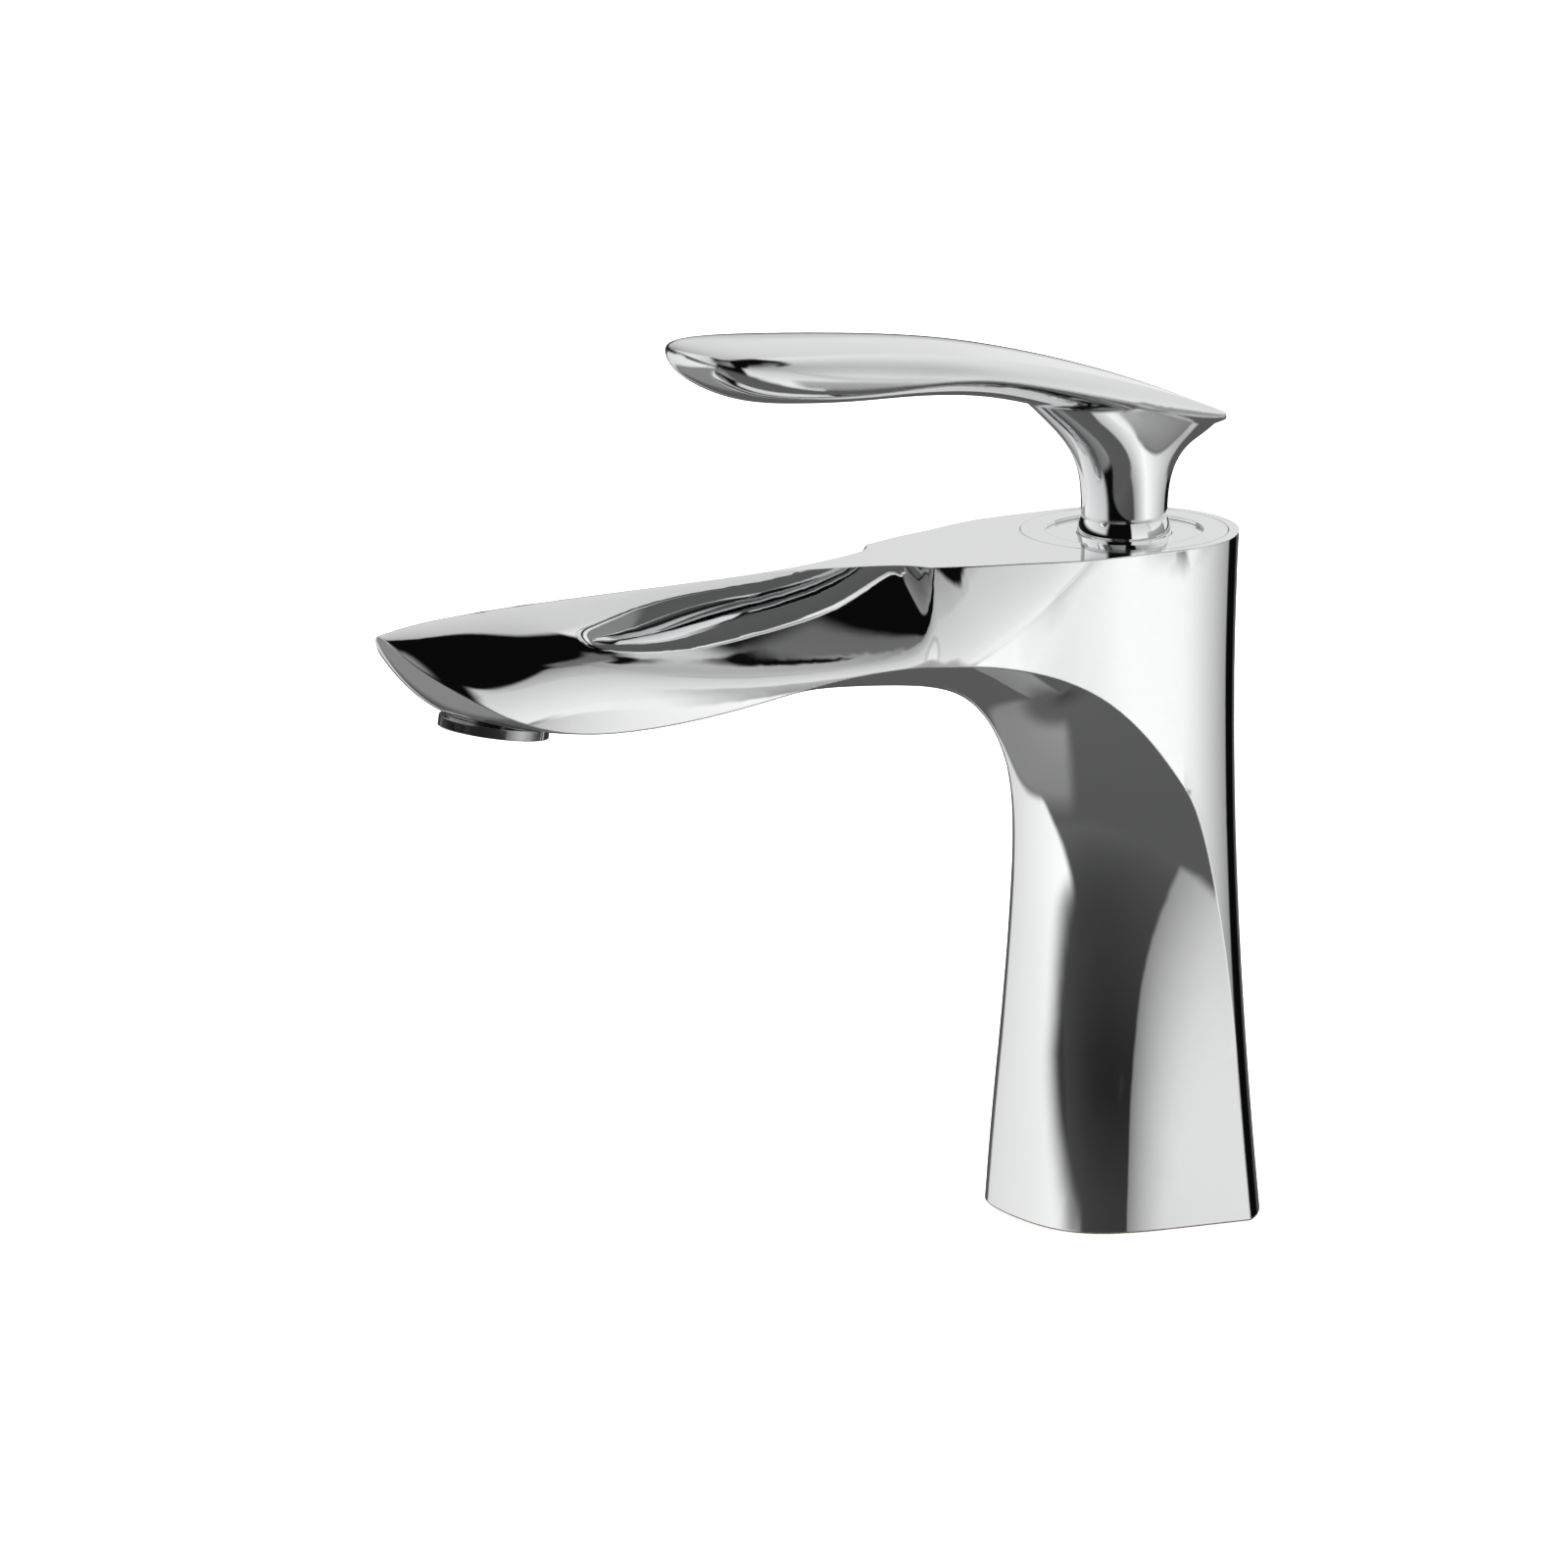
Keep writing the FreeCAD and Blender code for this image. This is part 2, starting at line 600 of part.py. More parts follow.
def housing_seal():
    minor = 0.5 * (chamber_radius - housing_radius) - 0.04
    middle = 0.5 * (chamber_radius + housing_radius)
    height = shoulder_top - shoulder_thickness - minor - 0.02
    return Part.makeTorus(middle, minor, Vector(0.0, 0.0, height))


def port_places():
    return [(-port_side, -port_front), (port_side, -port_front)]


# Rings under the cartridge's inlet ports
seal_ring_radius = 3.9
seal_ring_wire = 0.7


def cartridge_base():
    """Foot of the cartridge: two inlets from below, one outlet to the back."""
    shape = disc(case_radius, chamber_floor, base_top)
    for x, y in port_places():
        shape = shape.cut(disc(port_radius + 0.4, chamber_floor - 1.0, base_top + 1.0, x, y))
        groove = disc(seal_ring_radius + seal_ring_wire + fit_gap, chamber_floor - 1.0,
                      chamber_floor + 2.0 * seal_ring_wire + fit_gap, x, y)
        groove = groove.cut(disc(seal_ring_radius - seal_ring_wire - fit_gap, chamber_floor - 2.0,
                                 base_top, x, y))
        shape = shape.cut(groove)
    outlet_floor = chamber_floor + 0.4 * base_thickness
    shape = shape.cut(disc(outlet_radius, outlet_floor, base_top + 1.0, 0.0, outlet_back))
    window = block(outlet_radius, outlet_back, case_radius + 1.0, outlet_floor, base_top - 0.8)
    return shape.cut(window)


def port_seals():
    rings = [Part.makeTorus(seal_ring_radius, seal_ring_wire, Vector(x, y, chamber_floor + seal_ring_wire))
             for x, y in port_places()]
    return Part.Compound(rings)


def ported_plate(radius, bottom, top, bore):
    """A round plate with the two inlet holes and the outlet hole."""
    shape = disc(radius, bottom, top)
    for x, y in port_places():
        shape = shape.cut(disc(bore, bottom - 1.0, top + 1.0, x, y))
    return shape.cut(disc(outlet_radius, bottom - 1.0, top + 1.0, 0.0, outlet_back))


def disc_gasket():
    return ported_plate(cavity_radius - 0.5, base_top, fixed_bottom, port_radius + 0.4)


def fixed_disc():
    return ported_plate(cavity_radius - 0.5, fixed_bottom, fixed_top, port_radius)


def moving_disc():
    """Ceramic slide with a mixing pocket in its lower face, over the outlet when closed."""
    shape = disc(moving_radius, moving_bottom, carrier_bottom, 0.0, disc_rest)
    pocket_front = -port_front + port_radius + 0.7
    pocket_back = disc_rest + moving_radius - 3.0
    return shape.cut(block(5.5, pocket_front, pocket_back, moving_bottom - 1.0, moving_bottom + 1.2))


def disc_carrier():
    """Plastic slide on the moving disc, with a socket for the spindle's ball."""
    shape = disc(moving_radius, carrier_bottom, carrier_top, 0.0, disc_rest)
    socket_floor = carrier_bottom - 1.0
    return shape.cut(disc(tip_radius + tip_gap, socket_floor, carrier_top + 1.0))


def lever_leaf():
    """The leaf: a domed top and a keeled underside that meet in a sharp rim."""
    tip = lever_reach
    tail = -tail_reach
    # forward, then the half width as a share of the widest, then the rim, the top line and the bottom line as
    # shares of the lever's rise, measured down from its highest line, then how square its shoulders are
    stations = [
        (tip, 0.13, 0.074, 0.055, 0.096, 0.5),
        (tip - 0.3, 0.523, 0.072, 0.036, 0.136, 0.7),
        (0.958 * tip, 0.817, 0.094, 0.022, 0.208, 0.8),
        (0.886 * tip, 0.967, 0.150, 0.022, 0.270, 0.8),
        (0.800 * tip, 1.0, 0.196, 0.032, 0.288, 0.8),
        (0.675 * tip, 0.974, 0.226, 0.052, 0.308, 0.7),
        (0.540 * tip, 0.928, 0.226, 0.078, 0.318, 0.3),
        (0.415 * tip, 0.882, 0.235, 0.115, 0.339, 0.1),
        (0.312 * tip, 0.824, 0.278, 0.161, 0.374, 0.0),
        (0.208 * tip, 0.732, 0.335, 0.217, 0.435, 0.0),
        (0.104 * tip, 0.614, 0.396, 0.283, 0.500, 0.0),
        (0.0, 0.458, 0.463, 0.357, 0.565, 0.0),
        (0.448 * tail, 0.261, 0.533, 0.444, 0.613, 0.0),
        (0.807 * tail, 0.105, 0.570, 0.517, 0.617, 0.0),
        (tail, 0.033, 0.580, 0.559, 0.591, 0.0),
    ]
    top_rows = []
    bottom_rows = []
    for forward, share, rim_drop, crown_drop, keel_drop, square in stations:
        wide = share * lever_half_width
        rim = lever_top - rim_drop * lever_rise
        crown = lever_top - crown_drop * lever_rise
        keel = lever_top - keel_drop * lever_rise
        top_rows.append(across([at(forward, wide, rim),
                                at(forward, (0.93 + 0.05 * square) * wide,
                                   rim + (0.5 + 0.3 * square) * (crown - rim)),
                                at(forward, (0.55 + 0.27 * square) * wide, crown),
                                at(forward, 0.0, crown)]))
        bottom_rows.append(across([at(forward, wide, rim),
                                   at(forward, (0.9 + 0.04 * square) * wide,
                                      rim + (0.5 + 0.2 * square) * (keel - rim)),
                                   at(forward, (0.5 + 0.1 * square) * wide, keel),
                                   at(forward, 0.0, keel)]))
    knots = chain_knots(7)
    ends = [plane_face([curve(top_rows[i], knots), curve(bottom_rows[i], knots)]) for i in (0, -1)]
    return solid_from([patch(top_rows), patch(bottom_rows)] + ends)


def lever_handle():
    """Leaf and neck in one casting, with the spindle's socket and the screw's hole."""
    foot = neck_foot
    root = lever_top - 0.465 * lever_rise
    rise = root - foot
    wide = neck_radius
    tail = -tail_reach
    neck = neck_solid([
        (foot, 0.0, wide, 0.0, -wide, wide, 0.0),
        (foot + 0.18 * rise, 0.0, wide, 0.0, -wide, wide, 0.0),
        (foot + 0.42 * rise, 0.06, 1.05 * wide, 0.0, -1.12 * wide, 0.99 * wide, 0.0),
        (foot + 0.66 * rise, 0.18, 1.61 * wide, 0.05 * wide, -1.61 * wide, wide, 0.25),
        (foot + 0.86 * rise, 0.24, 2.59 * wide, 0.12 * wide, 0.82 * tail, 0.95 * wide, 0.7),
        (root, 0.25, 3.2 * wide, 0.18 * wide, 0.942 * tail, 0.854 * wide, 1.0),
    ])
    shape = lever_leaf().fuse(neck)
    shape = shape.cut(square_bar(spindle_side + 2.0 * fit_gap, foot - 1.0, foot + socket_depth))
    screw_z = foot + screw_height
    hole = rod(Vector(0.0, 0.0, screw_z), Vector(0.0, 3.0 * neck_radius, screw_z), screw_radius + fit_gap)
    return largest(shape.cut(hole))


def lever_screw():
    """Grub screw with a hexagon socket, pressing on the spindle."""
    start = 0.5 * spindle_side
    end = neck_radius - 1.5
    screw_z = neck_foot + screw_height
    shape = rod(Vector(0.0, start, screw_z), Vector(0.0, end, screw_z), screw_radius)
    corners = [Vector(1.15 * math.cos(math.radians(60 * k)), end - 1.6,
                      screw_z + 1.15 * math.sin(math.radians(60 * k))) for k in range(7)]
    key = Part.Face(Part.makePolygon(corners)).extrude(Vector(0.0, 3.0, 0.0))
    return shape.cut(key)


def screw_plug():
    screw_z = neck_foot + screw_height
    start = neck_radius - 1.45
    return rod(Vector(0.0, start, screw_z), Vector(0.0, neck_radius - 0.1, screw_z), screw_radius)


def aerator_housing():
    """Chrome ring: a thread in the spout, a flange below it and an inner ledge for the core."""
    shape = disc(thread_radius, 0.0, thread_length)
    shape = shape.fuse(disc(flange_radius, -flange_height, 0.0))
    shape = shape.cut(disc(aerator_bore, -flange_height + 1.0, thread_length + 1.0))
    shape = shape.cut(disc(mouth_radius, -flange_height - 1.0, thread_length))
    return at_aerator(shape.removeSplitter())


def cell_plate(radius, bottom, top, pitch, cell):
    """A round plate drilled on a hexagonal grid."""
    shape = disc(radius, bottom, top)
    reach = int(radius / pitch) + 1
    holes = []
    for row in range(-reach, reach + 1):
        for column in range(-reach, reach + 1):
            x = pitch * (column + 0.5 * (row % 2))
            y = pitch * row * math.sqrt(0.75)
            if math.hypot(x, y) < radius - cell - 0.7:
                holes.append(disc(cell, bottom - 1.0, top + 1.0, x, y))
    return shape.cut(holes)


def aerator_core():
    bottom = -flange_height + 1.0
    plate = cell_plate(aerator_bore - fit_gap, bottom, bottom + core_thickness, cell_pitch, cell_radius)
    return at_aerator(plate)


def aerator_screen():
    bottom = -flange_height + 1.0 + core_thickness
    plate = cell_plate(aerator_bore - fit_gap, bottom, bottom + 0.6, 0.9 * cell_pitch, 0.7 * cell_radius)
    return at_aerator(plate)


def aerator_seal():
    return at_aerator(ring(thread_radius, mouth_radius, thread_length, thread_length + washer_thickness))


nodes = {
    "body_shell": body_shell(),
    "base_seal": base_seal(),
    "cartridge_base": cartridge_base(),
    "port_seals": port_seals(),
    "cartridge_housing": cartridge_housing(),
    "housing_seal": housing_seal(),
    "disc_gasket": disc_gasket(),
    "fixed_disc": fixed_disc(),
    "moving_disc": moving_disc(),
    "disc_carrier": disc_carrier(),
    "rotor": rotor(),
    "pivot_pin": pivot_pin(),
    "limiter_ring": limiter_ring(),
    "retaining_nut": retaining_nut(),
    "glide_ring": glide_ring(),
    "trim_ring": trim_ring(),
    "cover_disc": cover_disc(),
    "spindle": spindle(),
    "lever_collar": lever_collar(),
    "lever_handle": lever_handle(),
    "lever_screw": lever_screw(),
    "screw_plug": screw_plug(),
    "aerator_housing": aerator_housing(),
    "aerator_core": aerator_core(),
    "aerator_screen": aerator_screen(),
    "aerator_seal": aerator_seal(),
}

for name, shape in nodes.items():
    shape.exportStep("parts/%s.step" % name)
    print(name, shape.isValid(), len(shape.Solids), round(shape.Volume))
print("pivot", pivot_height, "disc travel", disc_travel, "cover ratio", ball_height - pivot_height)
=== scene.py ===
import bpy
import math
import numpy as np
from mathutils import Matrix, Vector
from mathutils.kdtree import KDTree


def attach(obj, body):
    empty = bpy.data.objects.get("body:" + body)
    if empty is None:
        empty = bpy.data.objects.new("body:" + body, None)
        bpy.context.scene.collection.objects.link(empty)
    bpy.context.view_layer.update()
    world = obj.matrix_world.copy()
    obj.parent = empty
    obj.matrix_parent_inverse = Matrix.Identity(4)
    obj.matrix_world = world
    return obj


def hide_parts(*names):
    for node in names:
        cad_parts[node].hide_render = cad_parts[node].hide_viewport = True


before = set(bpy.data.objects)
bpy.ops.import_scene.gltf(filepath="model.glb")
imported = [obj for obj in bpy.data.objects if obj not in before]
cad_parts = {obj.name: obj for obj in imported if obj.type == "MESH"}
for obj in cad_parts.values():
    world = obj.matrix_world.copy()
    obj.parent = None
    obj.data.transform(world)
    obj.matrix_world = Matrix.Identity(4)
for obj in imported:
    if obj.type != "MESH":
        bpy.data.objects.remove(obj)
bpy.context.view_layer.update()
bpy.ops.object.select_all(action="DESELECT")

# Camera. A long lens about three metres off, a little above the spout and well round to its side,
# so that the picture shows the near flank, the front of the column and the flat top.
camera_azimuth = math.radians(60.0)
camera_height = math.radians(12.9)
camera_distance = 3.0
camera_aim = Vector((-0.0228, -0.06104, 0.08398))
film_width = 36.0
lens_length = 364.5
farthest_sight = 50.0
towards_camera = Vector((math.sin(camera_azimuth) * math.cos(camera_height),
                         -math.cos(camera_azimuth) * math.cos(camera_height),
                         math.sin(camera_height)))
bpy.ops.object.camera_add(location=camera_aim + camera_distance * towards_camera)
camera = bpy.context.object
camera.name = "camera"
camera.rotation_euler = towards_camera.to_track_quat("Z", "Y").to_euler()
camera.data.sensor_width = film_width
camera.data.lens = lens_length
camera.data.clip_end = farthest_sight
bpy.context.scene.camera = camera
bpy.context.scene.view_settings.view_transform = "Standard"

# Studio. The tap stands in a dark room between large soft white panels, which the polished metal mirrors.
# The sky holds the panels, each by the bearing and height that it covers, in degrees, and later panels
# hang in front of earlier ones. The camera itself sees plain white behind the tap.
white = (1.0, 1.0, 1.0, 1.0)
room_glow = 0.003
unlit = (room_glow, room_glow, room_glow, room_glow)
world = bpy.data.worlds.new("studio")
bpy.context.scene.world = world
world.use_nodes = True
sky = world.node_tree
sky.nodes.clear()


def node_in(tree, kind, inputs=None, **settings):
    node = tree.nodes.new(kind)
    for setting, value in settings.items():
        setattr(node, setting, value)
    for socket, value in (inputs or {}).items():
        if isinstance(value, bpy.types.NodeSocket):
            tree.links.new(value, node.inputs[socket])
        else:
            node.inputs[socket].default_value = value
    return node


def sums(tree, operation, *values):
    return node_in(tree, "ShaderNodeMath", dict(enumerate(values)), operation=operation).outputs[0]


def ramp(tree, value, start, end, first=0.0, last=1.0, curve="LINEAR"):
    ends = {"Value": value, "From Min": start, "From Max": end, "To Min": first, "To Max": last}
    return node_in(tree, "ShaderNodeMapRange", ends, interpolation_type=curve).outputs[0]


def axes_of(tree, place):
    return node_in(tree, "ShaderNodeSeparateXYZ", {0: place}).outputs


sky_axes = axes_of(sky, node_in(sky, "ShaderNodeTexCoord").outputs["Generated"])
sky_bearing = sums(sky, "MULTIPLY", sums(sky, "ARCTAN2", sky_axes[1], sky_axes[0]), math.degrees(1.0))
sky_height = sums(sky, "MULTIPLY", sums(sky, "ARCSINE", sky_axes[2]), math.degrees(1.0))


def within(value, edge, blur):
    away = sums(sky, "ABSOLUTE", value)
    return ramp(sky, away, edge - blur, edge + blur, 1.0, 0.0, "SMOOTHSTEP")


def hang_panel(behind, bearing, reach, low, high, blur, glow, lean=0.0, tilt=0.0):
    # bearing counts from +X towards +Y. blur is that of the upright edges and of the level ones. glow is
    # given low right, low left, high right and high left, as seen from the tap. lean and tilt turn the
    # upright and the level edges.
    half_height = 0.5 * (high - low)
    upward = sums(sky, "SUBTRACT", sky_height, 0.5 * (high + low))
    across = sums(sky, "SUBTRACT", sky_bearing, bearing)
    across = sums(sky, "SUBTRACT", across, sums(sky, "MULTIPLY", upward, lean))
    across = sums(sky, "WRAP", across, 180.0, -180.0)
    upward = sums(sky, "SUBTRACT", upward, sums(sky, "MULTIPLY", across, tilt))
    cover = sums(sky, "MULTIPLY", within(across, reach, blur[0]), within(upward, half_height, blur[1]))
    below = ramp(sky, across, -reach, reach, glow[0], glow[1])
    above = ramp(sky, across, -reach, reach, glow[2], glow[3])
    strength = ramp(sky, upward, -half_height, half_height, below, above)
    kept = sums(sky, "MULTIPLY", sums(sky, "SUBTRACT", 1.0, cover), behind)
    return sums(sky, "ADD", kept, sums(sky, "MULTIPLY", cover, strength))


# dark cloth on the ground, darker towards the camera, with light spilt on it beyond the spout
studio = hang_panel(room_glow, bearing=0.0, reach=400.0, low=-90.0, high=-6.0, blur=(10.0, 10.0),
                    glow=(0.115, 0.115, 0.095, 0.095))
studio = hang_panel(studio, bearing=-44.0, reach=42.0, low=-17.0, high=2.0, blur=(4.0, 3.0),
                    glow=(0.135, 0.095, 0.014, 0.003))
studio = hang_panel(studio, bearing=-127.0, reach=62.0, low=-72.0, high=-24.0, blur=(7.0, 7.0),
                    glow=(0.23, 0.32, 0.26, 0.235), lean=0.09)
# high and low panels beyond the spout
studio = hang_panel(studio, bearing=-122.0, reach=46.0, low=9.0, high=62.0, blur=(6.0, 4.0),
                    glow=(0.98, 0.64, 0.85, 0.42))
studio = hang_panel(studio, bearing=-136.0, reach=53.5, low=-25.3, high=-7.6, blur=(4.0, 2.0),
                    glow=(0.62, 0.95, 0.78, 1.1), lean=2.0)
# panels to the right, upper, middle and lower, with two dimmer strips over them
studio = hang_panel(studio, bearing=14.0, reach=26.0, low=0.0, high=39.0, blur=(3.0, 1.5),
                    glow=(0.90, 0.90, 0.62, 0.56))
studio = hang_panel(studio, bearing=23.0, reach=13.0, low=-8.0, high=2.0, blur=(5.0, 1.5),
                    glow=(0.95, 0.95, 0.92, 0.92))
studio = hang_panel(studio, bearing=14.0, reach=18.0, low=-20.0, high=-2.6, blur=(1.0, 1.0),
                    glow=(0.33, 1.0, 0.2, 1.12), tilt=-0.17)
studio = hang_panel(studio, bearing=31.7, reach=30.3, low=36.3, high=54.7, blur=(3.0, 1.2),
                    glow=(0.54, 0.54, 0.25, 0.46), lean=1.24)
studio = hang_panel(studio, bearing=52.0, reach=32.0, low=53.0, high=62.0, blur=(5.0, 1.5),
                    glow=(0.17, 0.17, 0.14, 0.14), lean=0.15)
# wide panel behind the column, the dark gap along its top, and a tall panel further round
studio = hang_panel(studio, bearing=98.0, reach=58.0, low=0.0, high=56.0, blur=(3.0, 1.2),
                    glow=(1.1, 0.52, 0.24, 1.1))
studio = hang_panel(studio, bearing=69.0, reach=13.0, low=53.6, high=56.2, blur=(2.0, 0.8),
                    glow=unlit, tilt=0.1)
studio = hang_panel(studio, bearing=162.0, reach=37.0, low=8.5, high=83.0, blur=(4.0, 4.0),
                    glow=(1.04, 0.2, 0.38, 0.69))
# low white strip behind the column, a grey card over it and a black card at its far end
studio = hang_panel(studio, bearing=66.0, reach=36.0, low=-15.7, high=-6.9, blur=(2.0, 1.0),
                    glow=(1.04, 0.38, 1.06, 0.26))
studio = hang_panel(studio, bearing=59.0, reach=31.0, low=-6.7, high=12.0, blur=(3.0, 2.0),
                    glow=(0.24, 0.21, 0.5, 0.28))
studio = hang_panel(studio, bearing=114.0, reach=12.0, low=-16.0, high=-9.0, blur=(3.0, 1.5),
                    glow=unlit)
# grey card overhead, in front of the spout
studio = hang_panel(studio, bearing=-62.0, reach=35.5, low=38.5, high=79.4, blur=(4.0, 4.0),
                    glow=(0.13, 0.29, 0.01, 0.25))

seen_plainly = node_in(sky, "ShaderNodeLightPath").outputs["Is Camera Ray"]
mirrored = sums(sky, "MULTIPLY", studio, sums(sky, "SUBTRACT", 1.0, seen_plainly))
sky_strength = sums(sky, "ADD", mirrored, seen_plainly)
sky_light = node_in(sky, "ShaderNodeBackground", {"Color": white, "Strength": sky_strength})
node_in(sky, "ShaderNodeOutputWorld", {"Surface": sky_light.outputs[0]})

# Floor. A wide sheet of pale paper, a little mottled, that the tap stands on. It glows a little, so that
# the shadow at the foot stays weak, and the polished metal mirrors the dark cloth and not the sheet.
floor_side = 30.0
floor_pale = (0.93, 0.93, 0.93, 1.0)
floor_paler = (0.95, 0.95, 0.95, 1.0)
floor_mottle = 3.0
floor_glow = 0.35


def new_finish(name):
    finish = bpy.data.materials.new(name)
    finish.use_nodes = True
    return finish, finish.node_tree, finish.node_tree.nodes["Principled BSDF"]


def place_in(tree):
    return node_in(tree, "ShaderNodeTexCoord").outputs["Object"]


def noise(tree, place, scale, detail=2.0):
    inputs = {"Vector": place, "Scale": scale, "Detail": detail}
    return node_in(tree, "ShaderNodeTexNoise", inputs).outputs[0]


def mixed(tree, share, first, second):
    node = node_in(tree, "ShaderNodeMix", {0: share, 6: first, 7: second}, data_type="RGBA")
    return node.outputs[2]


bpy.ops.mesh.primitive_grid_add(x_subdivisions=4, y_subdivisions=4, size=floor_side,
                                location=(0.0, 0.0, 0.0))
floor = bpy.context.object
floor.name = "floor"
floor.visible_glossy = False
floor_paint, floor_tree, floor_shader = new_finish("floor_paint")
floor_cloud = noise(floor_tree, place_in(floor_tree), floor_mottle)
floor_tone = mixed(floor_tree, floor_cloud, floor_pale, floor_paler)
floor_tree.links.new(floor_tone, floor_shader.inputs["Base Color"])
floor_shader.inputs["Roughness"].default_value = 0.9
floor_shader.inputs["Specular IOR Level"].default_value = 0.1
floor_shader.inputs["Emission Color"].default_value = white
floor_shader.inputs["Emission Strength"].default_value = floor_glow
floor.data.materials.append(floor_paint)

# Overhead light. A wide round lamp for the floor, too soft to draw a hard shadow; neither the camera nor
# the polished metal sees it.
overhead_place = Vector((-0.3, 0.4, 2.6))
overhead_width = 4.0
overhead_power = 135.0
bpy.ops.object.light_add(type="AREA", location=overhead_place)
overhead = bpy.context.object
overhead.name = "overhead"
overhead.data.shape = "DISK"
overhead.data.size = overhead_width
overhead.data.energy = overhead_power
overhead.rotation_euler = overhead_place.to_track_quat("Z", "Y").to_euler()
overhead.visible_glossy = False
overhead.visible_camera = False

# Body casting. Low-lead brass, cast in one piece with its spout, ground, polished and plated with bright
# chrome over nickel. The plating stops in the hollow foot, which keeps its cast skin, and the deck face
# is faced on a lathe.
foot_hollow = 0.0180
foot_depth = 0.0722
deck_face = 0.0002
facing_pitch = 0.00018
cast_grain = 1400.0
cast_gloss = (0.34, 0.52)
cast_brass = (0.60, 0.44, 0.22, 1.0)
faced_brass = (0.80, 0.63, 0.34, 1.0)
plated_chrome = (0.93, 0.935, 0.94)
hazed_share = 0.985
mirror_gloss = 0.012
hazed_gloss = 0.035
swell_scale = 45.0
swell_depth = 0.000003


def start_group(name, takes, gives):
    group = bpy.data.node_groups.new(name, "ShaderNodeTree")
    for label, kind in takes.items():
        group.interface.new_socket(label, in_out="INPUT", socket_type=kind)
    for label, kind in gives.items():
        group.interface.new_socket(label, in_out="OUTPUT", socket_type=kind)
    return group, group.nodes.new("NodeGroupInput").outputs, group.nodes.new("NodeGroupOutput").inputs


def weighed(tree, first, first_share, second, second_share):
    return sums(tree, "ADD", sums(tree, "MULTIPLY", first, first_share),
                sums(tree, "MULTIPLY", second, second_share))


# polish haze: soft clouds, fine grain and the faint drawn-out lines that a buffing wheel leaves
haze_fine_times = 12.0
haze_line_times = 60.0
haze_line_draw = (1.0, 0.08, 1.0)
haze_cloud_share = 0.55
haze_fine_share = 0.2
haze_line_share = 0.25
haze_clear = 0.35
haze_full = 0.65
polish_haze, haze_in, haze_out = start_group(
    "polish_haze", {"Vector": "NodeSocketVector", "Scale": "NodeSocketFloat"}, {"Haze": "NodeSocketFloat"})
haze_cloud = noise(polish_haze, haze_in["Vector"], haze_in["Scale"], 3.0)
haze_fine_scale = sums(polish_haze, "MULTIPLY", haze_in["Scale"], haze_fine_times)
haze_fine = noise(polish_haze, haze_in["Vector"], haze_fine_scale)
haze_drawn = node_in(polish_haze, "ShaderNodeMapping",
                     {"Vector": haze_in["Vector"], "Scale": haze_line_draw}).outputs[0]
haze_line_scale = sums(polish_haze, "MULTIPLY", haze_in["Scale"], haze_line_times)
haze_lines = noise(polish_haze, haze_drawn, haze_line_scale)
haze_scuffs = weighed(polish_haze, haze_fine, haze_fine_share, haze_lines, haze_line_share)
haze_clouds = sums(polish_haze, "MULTIPLY", haze_cloud, haze_cloud_share)
haze_sum = sums(polish_haze, "ADD", haze_clouds, haze_scuffs)
haze_mask = ramp(polish_haze, haze_sum, haze_clear, haze_full, curve="SMOOTHSTEP")
polish_haze.links.new(haze_mask, haze_out["Haze"])

# edge round: the small radius that grinding and plating leave on every edge, and a mask of those edges,
# which goes by how far the rounded normal has turned from the face
edge_clear = 0.995
edge_full = 0.85
edge_round, edge_in, edge_out = start_group(
    "edge_round", {"Radius": "NodeSocketFloat"}, {"Normal": "NodeSocketVector", "Edge": "NodeSocketFloat"})
edge_bevel = node_in(edge_round, "ShaderNodeBevel", {"Radius": edge_in["Radius"]}, samples=6)
edge_face = node_in(edge_round, "ShaderNodeNewGeometry").outputs["Normal"]
edge_turn = node_in(edge_round, "ShaderNodeVectorMath", {0: edge_bevel.outputs[0], 1: edge_face},
                    operation="DOT_PRODUCT").outputs["Value"]
edge_round.links.new(edge_bevel.outputs[0], edge_out["Normal"])
edge_round.links.new(ramp(edge_round, edge_turn, edge_clear, edge_full), edge_out["Edge"])


def effect(tree, group, inputs):
    return node_in(tree, "ShaderNodeGroup", inputs, node_tree=group).outputs


def opaque(colour, share=1.0):
    return tuple(share * part for part in colour) + (1.0,)


def lay_skin(tree, shader, tone, gloss, relief):
    skin = node_in(tree, "ShaderNodeBump", {"Strength": 1.0, **relief})
    tree.links.new(tone, shader.inputs["Base Color"])
    tree.links.new(gloss, shader.inputs["Roughness"])
    tree.links.new(skin.outputs[0], shader.inputs["Normal"])


def chrome_finish(name, rounding, haze_scale, dullest=hazed_gloss, base=plated_chrome):
    finish, tree, shader = new_finish(name)
    place = place_in(tree)
    haze = effect(tree, polish_haze, {"Vector": place, "Scale": haze_scale})["Haze"]
    edge = effect(tree, edge_round, {"Radius": rounding})
    swell = noise(tree, place, swell_scale, 1.0)
    tone = mixed(tree, haze, opaque(base), opaque(base, hazed_share))
    gloss = ramp(tree, haze, 0.0, 1.0, mirror_gloss, dullest)
    shader.inputs["Metallic"].default_value = 1.0
    lay_skin(tree, shader, tone, gloss,
             {"Distance": swell_depth, "Height": swell, "Normal": edge["Normal"]})
    return finish


def from_axis(tree, axes):
    squares = [sums(tree, "POWER", axis, 2.0) for axis in (axes[0], axes[1])]
    return sums(tree, "SQRT", sums(tree, "ADD", *squares))


